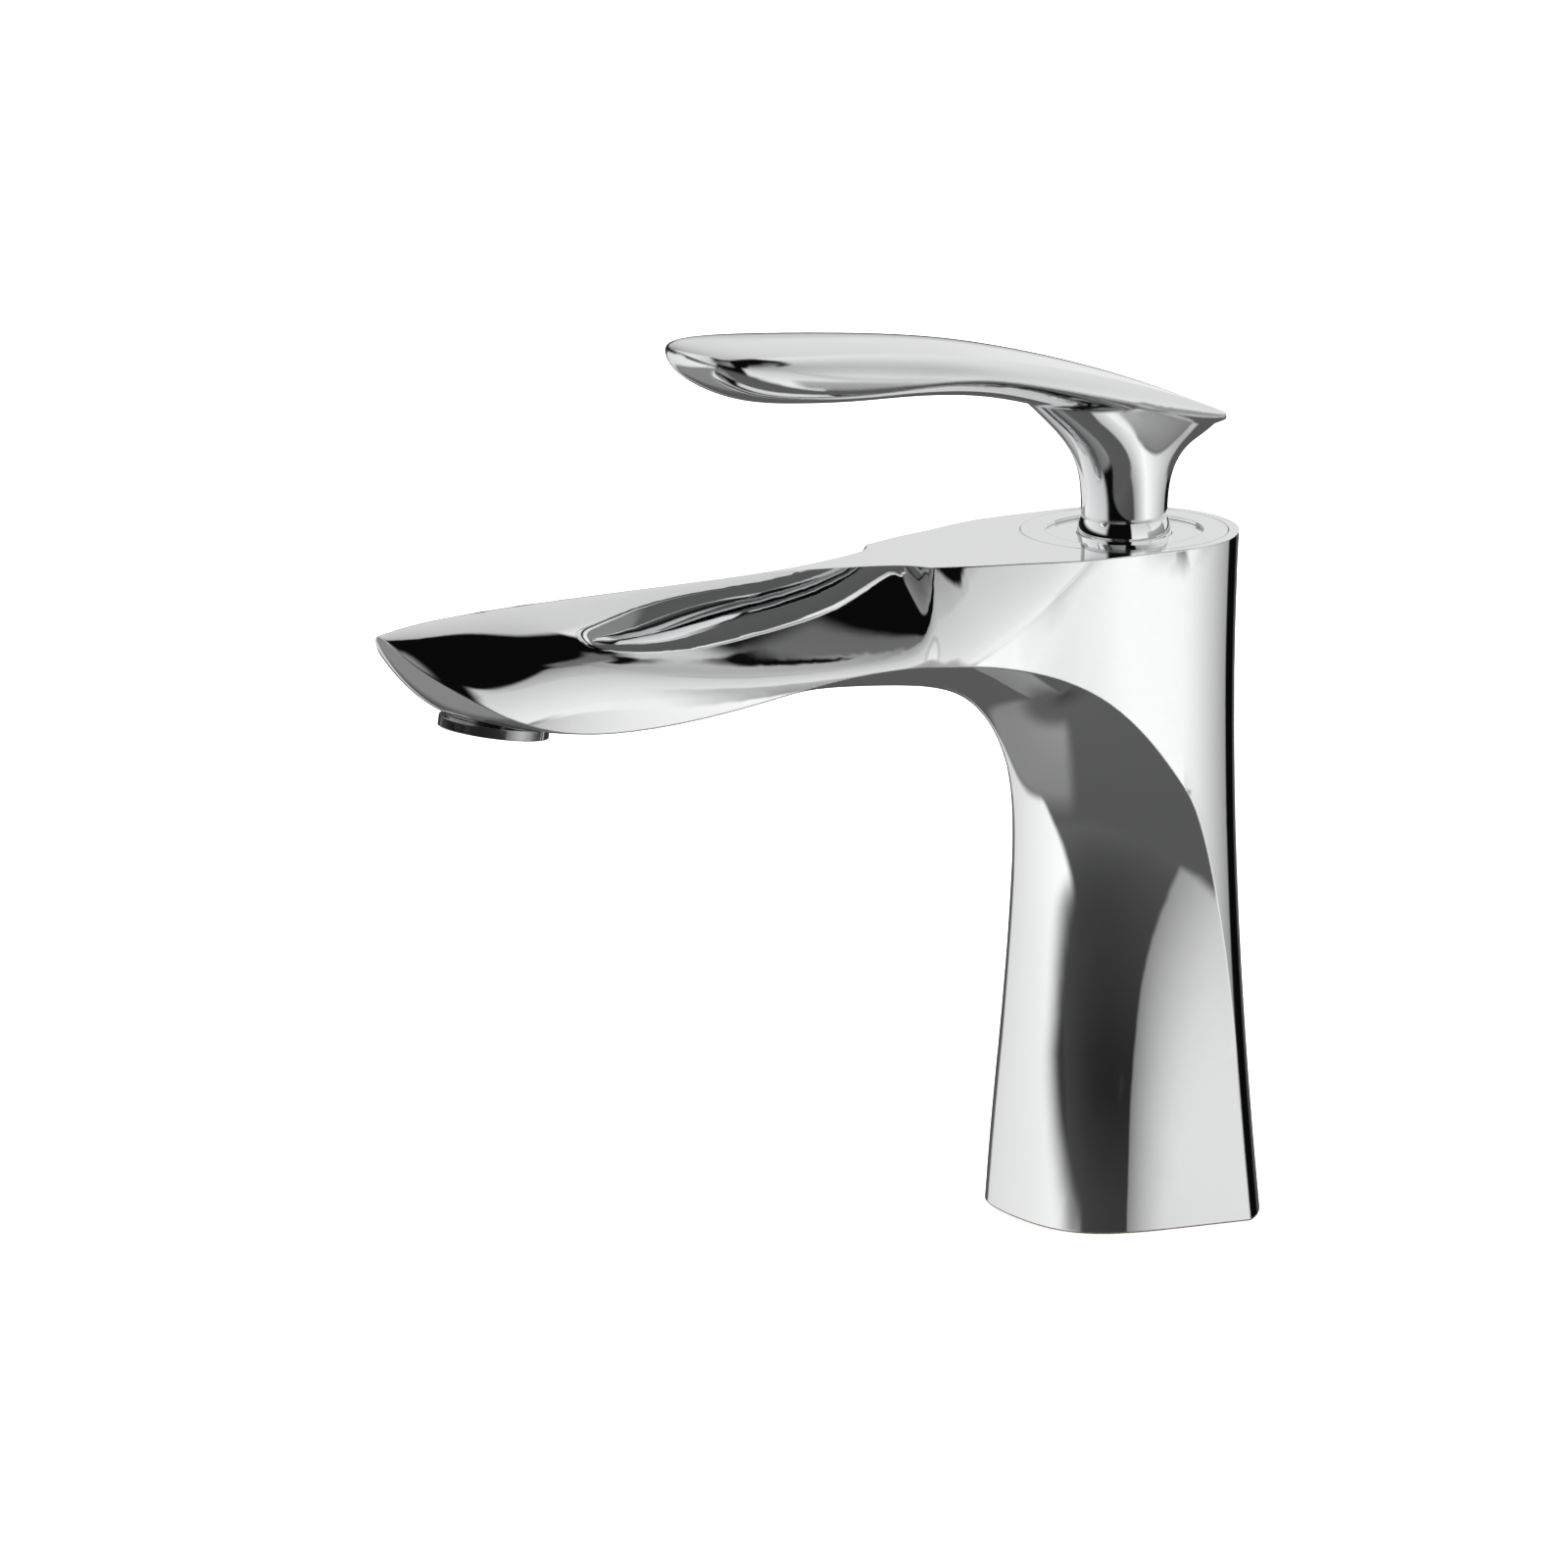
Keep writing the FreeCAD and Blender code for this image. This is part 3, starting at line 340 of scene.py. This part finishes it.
body_chrome = chrome_finish("body_chrome", rounding=0.0005, haze_scale=30.0)
body_tree = body_chrome.node_tree
body_shader = body_tree.nodes["Principled BSDF"]
body_place = place_in(body_tree)
body_axes = axes_of(body_tree, body_place)
body_radius = from_axis(body_tree, body_axes)
body_inside = sums(body_tree, "MULTIPLY", sums(body_tree, "LESS_THAN", body_radius, foot_hollow),
                   sums(body_tree, "LESS_THAN", body_axes[2], foot_depth))
body_faced = sums(body_tree, "LESS_THAN", body_axes[2], deck_face)
body_raw = sums(body_tree, "MAXIMUM", body_inside, body_faced)
body_cast = noise(body_tree, body_place, cast_grain, 4.0)
body_way = sums(body_tree, "MULTIPLY", body_radius, 2.0 * math.pi / facing_pitch)
body_turned = sums(body_tree, "SINE", body_way)
body_ring = mixed(body_tree, ramp(body_tree, body_turned, -1.0, 1.0), faced_brass, cast_brass)
body_brass = mixed(body_tree, body_cast, cast_brass, faced_brass)
body_brass = mixed(body_tree, body_faced, body_brass, body_ring)
body_plated = body_shader.inputs["Base Color"].links[0].from_socket
body_tone = mixed(body_tree, body_raw, body_plated, body_brass)
body_tree.links.new(body_tone, body_shader.inputs["Base Color"])
body_plated_gloss = body_shader.inputs["Roughness"].links[0].from_socket
body_raw_gloss = ramp(body_tree, body_cast, 0.3, 0.7, cast_gloss[0], cast_gloss[1])
body_gloss = ramp(body_tree, body_raw, 0.0, 1.0, body_plated_gloss, body_raw_gloss)
body_tree.links.new(body_gloss, body_shader.inputs["Roughness"])

# smooth castings: the casting's own mesh, merged, with the normal at each point fitted to the curved skin
# through its neighbours, so that the mirrored edges run as smoothly as on ground and polished metal
fit_neighbours = 24
fit_focus = 5.0
fit_crease = math.radians(30.0)
fit_limit = math.radians(8.0)
fit_damping = 1e-4
nearly_level = 0.8
least_reach = 1e-6
merge_distance = 1e-6


def fitted_normals(points, rough):
    places = KDTree(len(points))
    for number, point in enumerate(points):
        places.insert(point, number)
    places.balance()
    near = np.array([[found[1] for found in places.find_n(point, fit_neighbours)] for point in points])
    # only neighbours on the same side of a crease count
    alike = np.einsum("nkj,nj->nk", rough[near], rough) > math.cos(fit_crease)
    # each point's neighbours, measured across, along and above its own rough tangent plane
    upright = np.where(np.abs(rough[:, 2:]) < nearly_level, [[0.0, 0.0, 1.0]], [[1.0, 0.0, 0.0]])
    side = np.cross(rough, upright)
    side /= np.linalg.norm(side, axis=1)[:, None]
    axes = np.stack([side, np.cross(rough, side), rough], axis=1)
    local = np.einsum("nkj,nij->nki", points[near] - points[:, None, :], axes)
    reach = np.where(alike, np.hypot(local[:, :, 0], local[:, :, 1]), 0.0).max(axis=1)
    local /= np.maximum(reach, least_reach)[:, None, None]
    across, along, height = local[:, :, 0], local[:, :, 1], local[:, :, 2]
    # a curved skin through them, the nearest weighing most, whose slope corrects the normal
    weight = alike * np.exp(-fit_focus * (across ** 2 + along ** 2))
    terms = np.stack([across, along, across ** 2, across * along, along ** 2], axis=2)
    weighted = terms * weight[:, :, None]
    system = np.einsum("nki,nkj->nij", weighted, terms) + fit_damping * np.eye(terms.shape[2])
    slopes = np.linalg.solve(system, np.einsum("nki,nk->ni", weighted, height)[:, :, None])
    fitted = rough - slopes[:, 0] * axes[:, 0] - slopes[:, 1] * axes[:, 1]
    fitted /= np.linalg.norm(fitted, axis=1)[:, None]
    # a normal that would turn too far stays as it was
    strayed = (fitted * rough).sum(axis=1) < math.cos(fit_limit)
    fitted[strayed] = rough[strayed]
    return fitted


def smooth_casting(node, name, body, finish):
    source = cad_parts[node]
    casting = bpy.data.objects.new(name, source.data.copy())
    bpy.context.collection.objects.link(casting)
    mesh = casting.data
    points = np.empty(3 * len(mesh.vertices))
    mesh.vertices.foreach_get("co", points)
    points = points.reshape(-1, 3)
    corners = np.empty(len(mesh.loops), dtype=np.int32)
    mesh.loops.foreach_get("vertex_index", corners)
    facing = np.empty(3 * len(corners))
    mesh.corner_normals.foreach_get("vector", facing)
    rough = np.zeros_like(points)
    rough[corners] = facing.reshape(-1, 3)
    carried = mesh.attributes.new("fitted", "FLOAT_VECTOR", "CORNER")
    carried.data.foreach_set("vector", fitted_normals(points, rough)[corners].ravel())
    bpy.ops.object.select_all(action="DESELECT")
    casting.select_set(True)
    bpy.context.view_layer.objects.active = casting
    bpy.ops.object.mode_set(mode="EDIT")
    bpy.ops.mesh.select_all(action="SELECT")
    bpy.ops.mesh.remove_doubles(threshold=merge_distance)
    bpy.ops.object.mode_set(mode="OBJECT")
    facing = np.empty(3 * len(mesh.loops))
    mesh.attributes["fitted"].data.foreach_get("vector", facing)
    mesh.attributes.remove(mesh.attributes["fitted"])
    mesh.normals_split_custom_set(facing.reshape(-1, 3))
    casting.material_slots[0].material = finish
    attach(casting, body)
    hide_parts(node)


smooth_casting("body_shell", "body_casting", "body", body_chrome)

# Threads in the foot. The two water inlets are tapped M10 x 1 for flexible tails and the fixing hole
# M8 x 1.25 for its stud; each thread is a ridge that winds up the wall of its drilled hole.
inlet_aside = 0.009
inlet_back = 0.002
inlet_radius = 0.0045
inlet_pitch = 0.001
inlet_ridge = 0.00036
stud_forward = 0.011
stud_radius = 0.0034
stud_pitch = 0.00125
stud_ridge = 0.00042
thread_start = 0.0146
thread_turns = 12
thread_steps = 40
thread_crease = math.radians(35.0)
brass = (0.72, 0.56, 0.30)
rubbed_brass = (0.86, 0.72, 0.44)
stain_scale = 160.0
stained_share = 0.8
cut_shine = 0.08
cut_dulling = 0.06
cut_depth = 0.000004
cut_rounding = 0.00015
cut_wobble = 0.6

# tool rings: the fine turned lines of a lathe, as rings on a face and along a wall
rings_drift_scale = 900.0
tool_rings, rings_in, rings_out = start_group(
    "tool_rings", {"Vector": "NodeSocketVector", "Pitch": "NodeSocketFloat", "Wobble": "NodeSocketFloat"},
    {"Lines": "NodeSocketFloat"})
rings_axes = axes_of(tool_rings, rings_in["Vector"])
rings_reach = sums(tool_rings, "ADD", from_axis(tool_rings, rings_axes), rings_axes[2])
rings_drift = noise(tool_rings, rings_in["Vector"], rings_drift_scale)
rings_way = sums(tool_rings, "ADD", sums(tool_rings, "DIVIDE", rings_reach, rings_in["Pitch"]),
                 sums(tool_rings, "MULTIPLY", rings_drift, rings_in["Wobble"]))
rings_wave = sums(tool_rings, "SINE", sums(tool_rings, "MULTIPLY", rings_way, 2.0 * math.pi))
tool_rings.links.new(ramp(tool_rings, rings_wave, -1.0, 1.0), rings_out["Lines"])


def turned_finish(name, pitch, base, worn, dull):
    finish, tree, shader = new_finish(name)
    place = place_in(tree)
    lines = effect(tree, tool_rings, {"Vector": place, "Pitch": pitch, "Wobble": cut_wobble})["Lines"]
    edge = effect(tree, edge_round, {"Radius": cut_rounding})
    stain = ramp(tree, noise(tree, place, stain_scale, 4.0), 0.35, 0.7)
    tone = mixed(tree, stain, opaque(base), opaque(base, stained_share))
    tone = mixed(tree, edge["Edge"], tone, opaque(worn))
    gloss = ramp(tree, lines, 0.0, 1.0, dull - cut_shine, dull + cut_dulling)
    shader.inputs["Metallic"].default_value = 1.0
    lay_skin(tree, shader, tone, gloss,
             {"Distance": cut_depth, "Height": lines, "Normal": edge["Normal"]})
    return finish


tapped_brass = turned_finish("tapped_brass", pitch=0.00012, base=brass, worn=rubbed_brass, dull=0.3)


def wind_thread(name, x, y, hole_radius, pitch, ridge):
    bpy.ops.object.select_all(action="DESELECT")
    bpy.ops.mesh.primitive_circle_add(vertices=3, radius=ridge, fill_type="NOTHING",
                                      location=(hole_radius - 0.5 * ridge, 0.0, 0.0),
                                      rotation=(0.5 * math.pi, -0.5 * math.pi, 0.0))
    thread = bpy.context.object
    thread.name = name
    bpy.ops.object.transform_apply(location=True, rotation=True, scale=True)
    winding = thread.modifiers.new("winding", "SCREW")
    winding.axis = "Z"
    winding.screw_offset = pitch
    winding.iterations = thread_turns
    winding.steps = thread_steps
    winding.render_steps = thread_steps
    winding.use_smooth_shade = False
    bpy.ops.object.modifier_apply(modifier="winding")
    bpy.ops.object.mode_set(mode="EDIT")
    bpy.ops.mesh.select_all(action="SELECT")
    bpy.ops.mesh.fill_holes(sides=3)
    bpy.ops.mesh.normals_make_consistent(inside=False)
    bpy.ops.object.mode_set(mode="OBJECT")
    bpy.ops.object.shade_smooth_by_angle(angle=thread_crease)
    thread.location = (x, y, thread_start)
    bpy.ops.object.transform_apply(location=True, rotation=True, scale=True)
    thread.data.materials.append(tapped_brass)
    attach(thread, "body")


wind_thread("inlet_thread_left", -inlet_aside, inlet_back, inlet_radius, inlet_pitch, inlet_ridge)
wind_thread("inlet_thread_right", inlet_aside, inlet_back, inlet_radius, inlet_pitch, inlet_ridge)
wind_thread("stud_thread", 0.0, -stud_forward, stud_radius, stud_pitch, stud_ridge)

# Deck seal. A black rubber ring, moulded in one piece and pressed into the groove under the foot; its skin
# has the dull bloom of new rubber.
rubber = (0.030, 0.030, 0.032)
bloomed_rubber = (0.055, 0.054, 0.052)
mould_grain_scale = 2600.0
mould_grain_depth = 0.000006
mould_rounding = 0.0002
mould_gloss_spread = 0.08
rubbed_share = 0.5
rubbed_gain = 1.12
rubbed_lift = 0.01

# mould grain: the fine sparked texture that a steel mould leaves, with a slow change of shade
grain_cell_times = 0.6
grain_slow_times = 0.04
grain_fine_share = 0.6
grain_cell_share = 0.4
mould_grain, grain_in, grain_out = start_group(
    "mould_grain", {"Vector": "NodeSocketVector", "Scale": "NodeSocketFloat"},
    {"Grain": "NodeSocketFloat", "Shade": "NodeSocketFloat"})
grain_fine = noise(mould_grain, grain_in["Vector"], grain_in["Scale"], 3.0)
grain_cell_scale = sums(mould_grain, "MULTIPLY", grain_in["Scale"], grain_cell_times)
grain_cells = node_in(mould_grain, "ShaderNodeTexVoronoi",
                      {"Vector": grain_in["Vector"], "Scale": grain_cell_scale}).outputs["Distance"]
grain_slow_scale = sums(mould_grain, "MULTIPLY", grain_in["Scale"], grain_slow_times)
grain_slow = noise(mould_grain, grain_in["Vector"], grain_slow_scale)
grain_shade = ramp(mould_grain, grain_slow, 0.35, 0.65, curve="SMOOTHSTEP")
grain_sum = weighed(mould_grain, grain_fine, grain_fine_share, grain_cells, grain_cell_share)
mould_grain.links.new(grain_sum, grain_out["Grain"])
mould_grain.links.new(grain_shade, grain_out["Shade"])


def dress(node, finish):
    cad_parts[node].material_slots[0].material = finish


def moulded_finish(name, base, shaded, dull, grain_scale=mould_grain_scale, depth=mould_grain_depth):
    finish, tree, shader = new_finish(name)
    grain = effect(tree, mould_grain, {"Vector": place_in(tree), "Scale": grain_scale})
    edge = effect(tree, edge_round, {"Radius": mould_rounding})
    rubbed = tuple(min(1.0, rubbed_gain * part + rubbed_lift) for part in base)
    tone = mixed(tree, grain["Shade"], opaque(base), opaque(shaded))
    tone = mixed(tree, sums(tree, "MULTIPLY", edge["Edge"], rubbed_share), tone, opaque(rubbed))
    gloss = ramp(tree, grain["Grain"], 0.2, 0.7, dull - mould_gloss_spread, dull + mould_gloss_spread)
    lay_skin(tree, shader, tone, gloss,
             {"Distance": depth, "Height": grain["Grain"], "Normal": edge["Normal"]})
    return finish


dress("base_seal",
      moulded_finish("deck_seal_rubber", rubber, bloomed_rubber, dull=0.68, grain_scale=1800.0))

# Cartridge foot. White acetal plate with two inlet ports and one outlet, moulded and snapped into the
# housing; it sits on the floor of the chamber.
acetal = (0.86, 0.86, 0.84)
shaded_acetal = (0.80, 0.80, 0.77)
dress("cartridge_base", moulded_finish("foot_acetal", acetal, shaded_acetal, dull=0.42))

# Port seals. Two soft black rubber rings under the cartridge's inlet ports; pressed flat between its foot
# and the floor of the chamber, they seal the ports against the casting.
dress("port_seals",
      moulded_finish("port_seal_rubber", rubber, bloomed_rubber, dull=0.6, grain_scale=2400.0))

# Cartridge housing. A white acetal cup with a shoulder for the nut, moulded in one shot, with a faint
# flow shade from its gate.
housing_white = (0.88, 0.88, 0.86)
housing_shade = (0.81, 0.81, 0.79)
dress("cartridge_housing",
      moulded_finish("housing_acetal", housing_white, housing_shade, dull=0.45, grain_scale=2200.0))

# Housing seal. A black rubber ring round the housing, under its shoulder, which keeps water out of the top
# of the chamber.
dress("housing_seal",
      moulded_finish("housing_seal_rubber", rubber, bloomed_rubber, dull=0.62, grain_scale=2400.0))

# Disc gasket. A thin rubber mat with three holes, cut to shape, which lies between the cartridge's foot and
# the fixed disc and presses the discs together.
gasket_rubber = (0.034, 0.033, 0.036)
dress("disc_gasket",
      moulded_finish("gasket_rubber", gasket_rubber, bloomed_rubber, dull=0.7, grain_scale=1500.0))

# Ceramic discs. Two discs of sintered alumina, lapped flat until they cling together; the lower one is
# fixed in the housing and the upper one slides on it to open and mix the water.
fixed_alumina = (0.90, 0.89, 0.86)
fixed_fired = (0.86, 0.84, 0.80)
moving_alumina = (0.92, 0.91, 0.88)
moving_fired = (0.87, 0.86, 0.82)
lapped_grain_scale = 3600.0
lapped_grain_depth = 0.000001
lapped_rounding = 0.0001
lapped_wobble = 2.5
lapped_gloss = (0.1, 0.2)
alumina_ior = 1.7


def lapped_finish(name, base, fired, pitch):
    finish, tree, shader = new_finish(name)
    place = place_in(tree)
    grain = effect(tree, mould_grain, {"Vector": place, "Scale": lapped_grain_scale})
    lines = effect(tree, tool_rings, {"Vector": place, "Pitch": pitch, "Wobble": lapped_wobble})["Lines"]
    edge = effect(tree, edge_round, {"Radius": lapped_rounding})
    tone = mixed(tree, grain["Shade"], opaque(base), opaque(fired))
    gloss = ramp(tree, lines, 0.0, 1.0, lapped_gloss[0], lapped_gloss[1])
    shader.inputs["IOR"].default_value = alumina_ior
    lay_skin(tree, shader, tone, gloss,
             {"Distance": lapped_grain_depth, "Height": grain["Grain"], "Normal": edge["Normal"]})
    return finish


dress("fixed_disc", lapped_finish("fixed_alumina", fixed_alumina, fixed_fired, pitch=0.00035))
dress("moving_disc", lapped_finish("moving_alumina", moving_alumina, moving_fired, pitch=0.0003))

# Disc carrier. Grey glass-filled nylon, moulded; it holds the moving disc and takes the spindle's ball tip
# in a socket on its upper side.
carrier_grey = (0.40, 0.42, 0.45)
shaded_nylon = (0.34, 0.36, 0.39)
dress("disc_carrier", moulded_finish("carrier_nylon", carrier_grey, shaded_nylon, dull=0.5,
                                     grain_scale=1900.0, depth=0.000009))

# Rotor. Grey nylon, moulded, that turns in the housing's roof and carries the pivot pin; lever and discs
# turn with it.
rotor_grey = (0.43, 0.45, 0.48)
dress("rotor", moulded_finish("rotor_nylon", rotor_grey, shaded_nylon, dull=0.48,
                              grain_scale=2000.0, depth=0.000008))

# Pivot pin. A stainless pin, cut from drawn wire and held across the rotor; the spindle rocks on it when
# the lever is lifted.
steel = (0.60, 0.60, 0.61)
rubbed_steel = (0.76, 0.76, 0.77)
dress("pivot_pin",
      turned_finish("pin_steel", pitch=0.00009, base=steel, worn=rubbed_steel, dull=0.26))

# Limiter ring. A toothed ring of grey nylon on the rotor's neck, which can be moved round to limit how hot
# the water gets.
limiter_grey = (0.36, 0.38, 0.42)
limiter_shade = (0.31, 0.33, 0.36)
dress("limiter_ring",
      moulded_finish("limiter_nylon", limiter_grey, limiter_shade, dull=0.44, grain_scale=2100.0))

# Retaining nut. A ring turned from brass bar, with four slots for its key, and screwed into the chamber to
# hold the cartridge down.
dress("retaining_nut",
      turned_finish("nut_brass", pitch=0.00016, base=brass, worn=rubbed_brass, dull=0.28))

# Glide ring. A white acetal ring, moulded and laid on the nut in the recess of the flat top; the cover disc
# slides on it without scratching.
glide_white = (0.87, 0.87, 0.85)
dress("glide_ring",
      moulded_finish("glide_acetal", glide_white, shaded_acetal, dull=0.36, grain_scale=3000.0))

# Trim ring. Turned brass, chrome plated and pressed flush into the flat top, with a thin lip over the edge
# of the cover disc.
dress("trim_ring", chrome_finish("trim_chrome", rounding=0.00025, haze_scale=42.0))

# Cover disc. Thin plated brass round the lever's collar, stamped and polished flat; it slides under the
# trim ring as the lever lifts.
dress("cover_disc", chrome_finish("cover_chrome", rounding=0.0002, haze_scale=55.0))

# Spindle. Milled from square brass bar, with a ball tip that works in the disc carrier; the lever is
# clamped on its upper end.
spindle_brass = (0.70, 0.55, 0.30)
dress("spindle",
      turned_finish("spindle_brass", pitch=0.0002, base=spindle_brass, worn=rubbed_brass, dull=0.3))

# Lever collar. A plated slice of a ball at the foot of the stem, with a square hole for the spindle; it
# rocks in the cover disc.
dress("lever_collar", chrome_finish("collar_chrome", rounding=0.0002, haze_scale=48.0))

# Lever. Die-cast zinc with its stem in one piece, polished to a thin rim and chrome plated; it stands on
# the collar and is clamped on the spindle.
lever_chrome = chrome_finish("lever_chrome", rounding=0.0010, haze_scale=36.0)
smooth_casting("lever_handle", "lever_casting", "lever", lever_chrome)

# Lever screw. A stainless set screw with a hexagon socket, at the back of the stem, which clamps the lever
# on its spindle.
dress("lever_screw",
      turned_finish("screw_steel", pitch=0.00012, base=steel, worn=rubbed_steel, dull=0.3))

# Screw plug. A small metallised plastic plug, pushed into the hole over the screw; its plating is thinner
# and duller than the lever's.
metallised = (0.70, 0.71, 0.72)
dress("screw_plug",
      chrome_finish("plug_metallised", rounding=0.00015, haze_scale=90.0, dullest=0.16, base=metallised))

# Aerator ring. Turned brass, plated to a satin that is darker than the body, and screwed into the spout
# from below.
satin_chrome = (0.50, 0.505, 0.51)
dress("aerator_housing",
      chrome_finish("aerator_chrome", rounding=0.0003, haze_scale=60.0, dullest=0.2, base=satin_chrome))

# Aerator core. Pale grey acetal, moulded with a honeycomb of small cells that straighten the stream, and
# held in the ring.
core_grey = (0.62, 0.63, 0.64)
core_shade = (0.56, 0.57, 0.58)
dress("aerator_core",
      moulded_finish("core_acetal", core_grey, core_shade, dull=0.4, grain_scale=2800.0))

# Aerator screen. Fine stainless wire, woven and punched to a round, which lies on the core and keeps grit
# out of the cells.
wire_pitch = 0.0004
wire_relief = 0.00006
gap_gloss = 0.5
wire_gloss = 0.25
# painted shade: the gaps between the wires are painted near black, for the dark seen through the holes of a
# real screen
painted_gap_shade = (0.05, 0.05, 0.05)
screen_wire, screen_tree, screen_shader = new_finish("screen_wire")
screen_axes = axes_of(screen_tree, place_in(screen_tree))
screen_ways = [sums(screen_tree, "SINE", sums(screen_tree, "MULTIPLY", axis, math.pi / wire_pitch))
               for axis in (screen_axes[0], screen_axes[1])]
screen_wires = sums(screen_tree, "MAXIMUM", *[sums(screen_tree, "ABSOLUTE", way) for way in screen_ways])
screen_share = ramp(screen_tree, screen_wires, 0.6, 0.85)
# the wires take the steel colour and the gaps between them take the painted shade
screen_tone = mixed(screen_tree, screen_share, opaque(painted_gap_shade), opaque(rubbed_steel))
screen_gloss = ramp(screen_tree, screen_wires, 0.6, 1.0, gap_gloss, wire_gloss)
screen_shader.inputs["Metallic"].default_value = 1.0
lay_skin(screen_tree, screen_shader, screen_tone, screen_gloss,
         {"Distance": wire_relief, "Height": screen_wires})
dress("aerator_screen", screen_wire)

# Aerator seal. A flat black rubber washer, punched from sheet, between the aerator and its seat in the
# spout.
dress("aerator_seal",
      moulded_finish("washer_rubber", rubber, bloomed_rubber, dull=0.66, grain_scale=2000.0))
